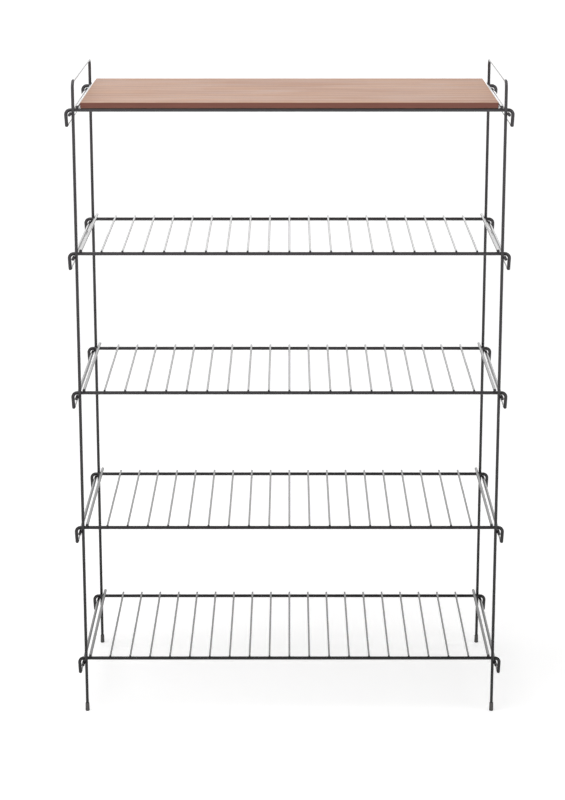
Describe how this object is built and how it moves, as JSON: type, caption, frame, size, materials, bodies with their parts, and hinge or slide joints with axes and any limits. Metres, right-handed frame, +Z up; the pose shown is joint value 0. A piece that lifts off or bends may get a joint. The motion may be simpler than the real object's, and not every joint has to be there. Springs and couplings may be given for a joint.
{
  "type": "wire shelf rack",
  "caption": "Free-standing rack of wire shelves with a loose wooden top board, hooked by their rods over the rungs of inverted-U wire side frames on rubber feet.",
  "frame": {"origin": "on the floor, midway between the feet", "axes": "+X to the right across the width, +Y to the rear, +Z up; the front is at -Y"},
  "size_m": [0.7094, 0.307, 1.0667],
  "materials": {
    "black_lacquer": "gloss black lacquer on steel wire",
    "wood_board": "satin clear varnish on a straight-grained reddish brown hardwood face",
    "rubber_cap": "matt dark grey"
  },
  "bodies": {
    "side_frames": {"front_left_foot_cap": "rubber_cap", "front_right_foot_cap": "rubber_cap", "left_rung_1": "black_lacquer", "left_rung_2": "black_lacquer", "left_rung_3": "black_lacquer", "left_rung_4": "black_lacquer", "left_rung_5": "black_lacquer", "left_side_loop": "black_lacquer", "rear_left_foot_cap": "rubber_cap", "rear_right_foot_cap": "rubber_cap", "right_rung_1": "black_lacquer", "right_rung_2": "black_lacquer", "right_rung_3": "black_lacquer", "right_rung_4": "black_lacquer", "right_rung_5": "black_lacquer", "right_side_loop": "black_lacquer"},
    "shelf_1": {"shelf_1_cross_wires": "black_lacquer", "shelf_1_front_rod": "black_lacquer", "shelf_1_left_end_wire": "black_lacquer", "shelf_1_left_tie_wire": "black_lacquer", "shelf_1_rear_rod": "black_lacquer", "shelf_1_right_end_wire": "black_lacquer", "shelf_1_right_tie_wire": "black_lacquer"},
    "shelf_2": {"shelf_2_cross_wires": "black_lacquer", "shelf_2_front_rod": "black_lacquer", "shelf_2_left_end_wire": "black_lacquer", "shelf_2_left_tie_wire": "black_lacquer", "shelf_2_rear_rod": "black_lacquer", "shelf_2_right_end_wire": "black_lacquer", "shelf_2_right_tie_wire": "black_lacquer"},
    "shelf_3": {"shelf_3_cross_wires": "black_lacquer", "shelf_3_front_rod": "black_lacquer", "shelf_3_left_end_wire": "black_lacquer", "shelf_3_left_tie_wire": "black_lacquer", "shelf_3_rear_rod": "black_lacquer", "shelf_3_right_end_wire": "black_lacquer", "shelf_3_right_tie_wire": "black_lacquer"},
    "shelf_4": {"shelf_4_cross_wires": "black_lacquer", "shelf_4_front_rod": "black_lacquer", "shelf_4_left_end_wire": "black_lacquer", "shelf_4_left_tie_wire": "black_lacquer", "shelf_4_rear_rod": "black_lacquer", "shelf_4_right_end_wire": "black_lacquer", "shelf_4_right_tie_wire": "black_lacquer"},
    "top_shelf": {"top_shelf_front_rod": "black_lacquer", "top_shelf_left_end_wire": "black_lacquer", "top_shelf_left_tie_wire": "black_lacquer", "top_shelf_rear_rod": "black_lacquer", "top_shelf_right_end_wire": "black_lacquer", "top_shelf_right_tie_wire": "black_lacquer"},
    "board": {"top_shelf_board": "wood_board"}
  },
  "joints": [
    {"name": "shelf_1_lift", "type": "slide", "parent": "side_frames", "child": "shelf_1", "axis": [0, 0, 1], "range_m": [0, 0.028]},
    {"name": "shelf_2_lift", "type": "slide", "parent": "side_frames", "child": "shelf_2", "axis": [0, 0, 1], "range_m": [0, 0.028]},
    {"name": "shelf_3_lift", "type": "slide", "parent": "side_frames", "child": "shelf_3", "axis": [0, 0, 1], "range_m": [0, 0.028]},
    {"name": "shelf_4_lift", "type": "slide", "parent": "side_frames", "child": "shelf_4", "axis": [0, 0, 1], "range_m": [0, 0.028]},
    {"name": "top_shelf_lift", "type": "slide", "parent": "side_frames", "child": "top_shelf", "axis": [0, 0, 1], "range_m": [0, 0.028]},
    {"name": "board_lift", "type": "slide", "parent": "top_shelf", "child": "board", "axis": [0, 0, 1], "range_m": [0, 0.04]}
  ]
}
